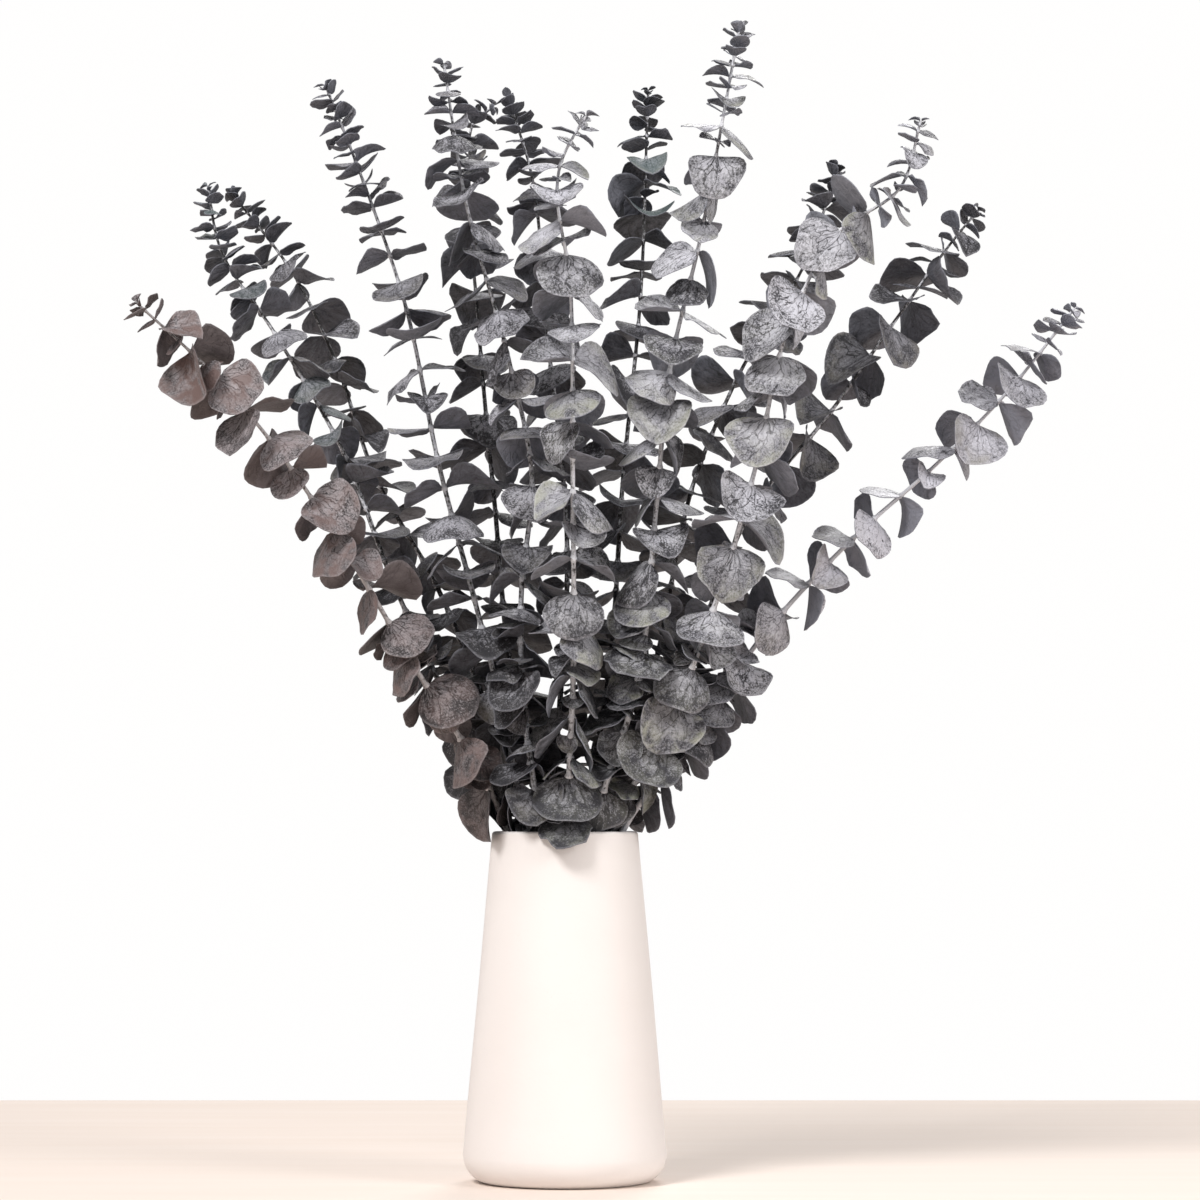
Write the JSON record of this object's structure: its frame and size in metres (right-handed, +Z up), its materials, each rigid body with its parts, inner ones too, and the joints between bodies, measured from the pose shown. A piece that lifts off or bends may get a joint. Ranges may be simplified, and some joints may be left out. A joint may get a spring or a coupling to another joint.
{
  "type": "eucalyptus branches in a vase",
  "caption": "Preserved grey eucalyptus branches with opposite round leaves, fanned out of a tapered ceramic vase.",
  "frame": {"origin": "centre of the vase's flat foot, on the surface that it stands on", "axes": "+Z up the vase's axis; the front of the arrangement faces -Y; +X to the right as seen from the front"},
  "size_m": [0.5283, 0.2567, 0.6488],
  "materials": {
    "ceramic": "matte cream glaze",
    "grey_leaf": "mottled charcoal and silver-grey, preserved leaves on woody stems",
    "pale_leaf": "mottled silver-grey, preserved leaves on woody stems",
    "brown_leaf": "mottled brown-mauve grey, preserved leaves on woody stems"
  },
  "bodies": {
    "root": {"vase": "ceramic", "branch_01": "brown_leaf", "branch_02": "grey_leaf", "branch_03": "grey_leaf", "branch_04": "grey_leaf", "branch_05": "grey_leaf", "branch_06": "grey_leaf", "branch_07": "grey_leaf", "branch_08": "pale_leaf", "branch_09": "grey_leaf", "branch_10": "pale_leaf", "branch_11": "grey_leaf", "branch_12": "pale_leaf", "branch_13": "grey_leaf", "branch_14": "grey_leaf"}
  },
  "joints": []
}
